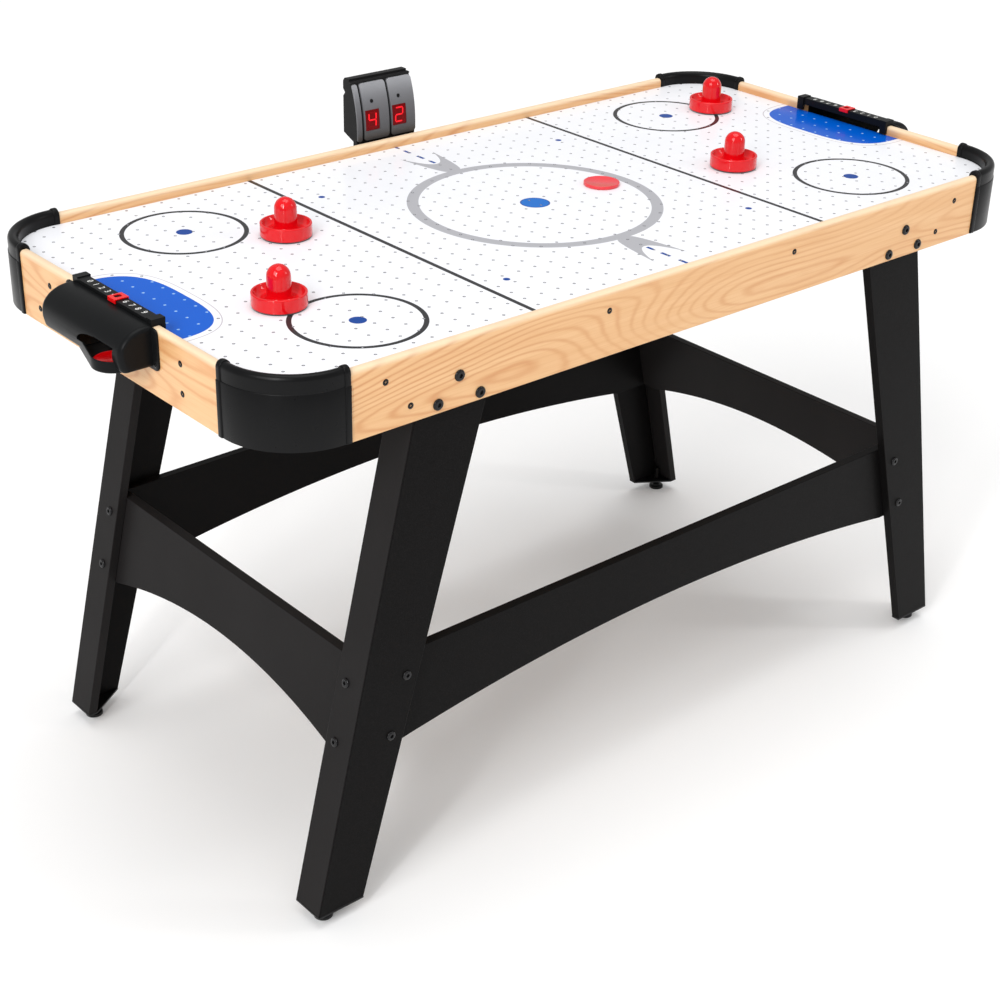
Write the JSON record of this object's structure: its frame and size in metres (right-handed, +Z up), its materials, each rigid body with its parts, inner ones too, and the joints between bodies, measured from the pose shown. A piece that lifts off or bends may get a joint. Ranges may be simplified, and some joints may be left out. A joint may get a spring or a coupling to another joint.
{
  "type": "air hockey table",
  "caption": "Air hockey table: white perforated playfield in wood-grain aprons with black corner caps, goal boxes, scoreboard, strikers, pucks and a splayed leg frame.",
  "frame": {"origin": "on the floor, under the middle of the overall box, which is 23 mm towards the scoreboard from the middle of the playfield", "axes": "+X along the table's length, +Y towards the scoreboard side, +Z up"},
  "size_m": [1.607, 0.7782, 0.948],
  "materials": {
    "playing_surface": "glossy white melamine face on thin board, printed markings, drilled air holes",
    "raw_board": "bare fibreboard",
    "wood_foil": "light maple wood-grain foil, satin",
    "corner_plastic": "black satin moulded plastic with fine grain",
    "leg_laminate": "black textured laminate on board",
    "foot_plastic": "black moulded plastic",
    "leveller_plastic": "black nylon foot on a threaded stem",
    "goal_plastic": "black moulded plastic, fine texture",
    "slider_red": "red gloss plastic",
    "puck_red": "red satin plastic",
    "striker_red": "red high-gloss plastic",
    "felt": "black felt",
    "scoreboard_grey": "grey satin plastic",
    "scoreboard_black": "black satin plastic",
    "display_red": "red filter over lit seven-segment digits",
    "circuit": "green circuit laminate",
    "blower_plastic": "black moulded plastic",
    "motor_steel": "plated steel can and shaft"
  },
  "bodies": {
    "table": {"playfield": "playing_surface", "air_chamber_panel": "raw_board", "air_chamber_frame": "raw_board", "front_apron": "wood_foil", "back_apron": "wood_foil", "left_end_apron": "wood_foil", "right_end_apron": "wood_foil", "corner_cap_front_left": "corner_plastic", "corner_cap_front_right": "corner_plastic", "corner_cap_back_left": "corner_plastic", "corner_cap_back_right": "corner_plastic", "front_left_leg_side_board": "leg_laminate", "front_left_leg_end_board": "leg_laminate", "front_right_leg_side_board": "leg_laminate", "front_right_leg_end_board": "leg_laminate", "back_left_leg_side_board": "leg_laminate", "back_left_leg_end_board": "leg_laminate", "back_right_leg_side_board": "leg_laminate", "back_right_leg_end_board": "leg_laminate", "front_stretcher": "leg_laminate", "back_stretcher": "leg_laminate", "left_stretcher": "leg_laminate", "right_stretcher": "leg_laminate", "front_left_leg_foot_plate": "foot_plastic", "front_right_leg_foot_plate": "foot_plastic", "back_left_leg_foot_plate": "foot_plastic", "back_right_leg_foot_plate": "foot_plastic", "left_goal_hood": "goal_plastic", "right_goal_hood": "goal_plastic", "left_score_bar": "goal_plastic", "right_score_bar": "goal_plastic", "scoreboard_face": "scoreboard_grey", "scoreboard_housing": "scoreboard_black", "left_score_display": "display_red", "right_score_display": "display_red", "scoreboard_circuit_board": "circuit", "blower_housing": "blower_plastic", "power_inlet": "blower_plastic", "blower_motor": "motor_steel"},
    "striker_1": {"striker_1_shell": "striker_red", "striker_1_felt": "felt"},
    "striker_2": {"striker_2_shell": "striker_red", "striker_2_felt": "felt"},
    "striker_3": {"striker_3_shell": "striker_red", "striker_3_felt": "felt"},
    "striker_4": {"striker_4_shell": "striker_red", "striker_4_felt": "felt"},
    "field_puck_body": {"field_puck": "puck_red"},
    "goal_puck_body": {"goal_puck": "puck_red"},
    "left_slider_body": {"left_score_slider": "slider_red"},
    "left_button_body": {"left_score_button": "scoreboard_black"},
    "right_slider_body": {"right_score_slider": "slider_red"},
    "right_button_body": {"right_score_button": "scoreboard_black"},
    "impeller_body": {"blower_impeller": "blower_plastic"},
    "switch_body": {"power_switch": "blower_plastic"},
    "front_left_leveller_body": {"front_left_leg_leveller": "leveller_plastic"},
    "front_right_leveller_body": {"front_right_leg_leveller": "leveller_plastic"},
    "back_left_leveller_body": {"back_left_leg_leveller": "leveller_plastic"},
    "back_right_leveller_body": {"back_right_leg_leveller": "leveller_plastic"}
  },
  "joints": [
    {"name": "striker_1_slide", "type": "slide", "parent": "table", "child": "striker_1", "axis": [1, 0, 0], "range_m": [-0.285, 0.34]},
    {"name": "striker_2_slide", "type": "slide", "parent": "table", "child": "striker_2", "axis": [1, 0, 0], "range_m": [-0.12, 0.5]},
    {"name": "striker_3_slide", "type": "slide", "parent": "table", "child": "striker_3", "axis": [1, 0, 0], "range_m": [-0.36, 0.085]},
    {"name": "striker_4_slide", "type": "slide", "parent": "table", "child": "striker_4", "axis": [1, 0, 0], "range_m": [-0.15, 0.29]},
    {"name": "field_puck_slide", "type": "slide", "parent": "table", "child": "field_puck_body", "axis": [0, 1, 0], "range_m": [-0.31, 0.31]},
    {"name": "goal_puck_lift_out", "type": "slide", "parent": "table", "child": "goal_puck_body", "axis": [0, 0, 1], "range_m": [0, 0.025]},
    {"name": "left_score_slide", "type": "slide", "parent": "table", "child": "left_slider_body", "axis": [0, 1, 0], "range_m": [-0.064, 0.072]},
    {"name": "left_button_press", "type": "slide", "parent": "table", "child": "left_button_body", "axis": [0, 1, 0], "range_m": [0, 0.0015], "stiffness_N_per_m": 400, "springref_m": -0.0005},
    {"name": "right_score_slide", "type": "slide", "parent": "table", "child": "right_slider_body", "axis": [0, 1, 0], "range_m": [-0.064, 0.072]},
    {"name": "right_button_press", "type": "slide", "parent": "table", "child": "right_button_body", "axis": [0, 1, 0], "range_m": [0, 0.0015], "stiffness_N_per_m": 400, "springref_m": -0.0005},
    {"name": "impeller_spin", "type": "hinge", "parent": "table", "child": "impeller_body", "pos_m": [0, -0.02295, 0.79], "axis": [0, 0, 1], "continuous": true},
    {"name": "power_switch_rock", "type": "hinge", "parent": "table", "child": "switch_body", "pos_m": [0.01, 0.08705, 0.7982], "axis": [1, 0, 0], "range_deg": [0, 14]},
    {"name": "front_left_leveller_turn", "type": "hinge", "parent": "table", "child": "front_left_leveller_body", "pos_m": [-0.654, -0.34495, 0.02], "axis": [0, 0, 1], "continuous": true},
    {"name": "front_right_leveller_turn", "type": "hinge", "parent": "table", "child": "front_right_leveller_body", "pos_m": [0.654, -0.34495, 0.02], "axis": [0, 0, 1], "continuous": true},
    {"name": "back_left_leveller_turn", "type": "hinge", "parent": "table", "child": "back_left_leveller_body", "pos_m": [-0.654, 0.29905, 0.02], "axis": [0, 0, 1], "continuous": true},
    {"name": "back_right_leveller_turn", "type": "hinge", "parent": "table", "child": "back_right_leveller_body", "pos_m": [0.654, 0.29905, 0.02], "axis": [0, 0, 1], "continuous": true}
  ]
}
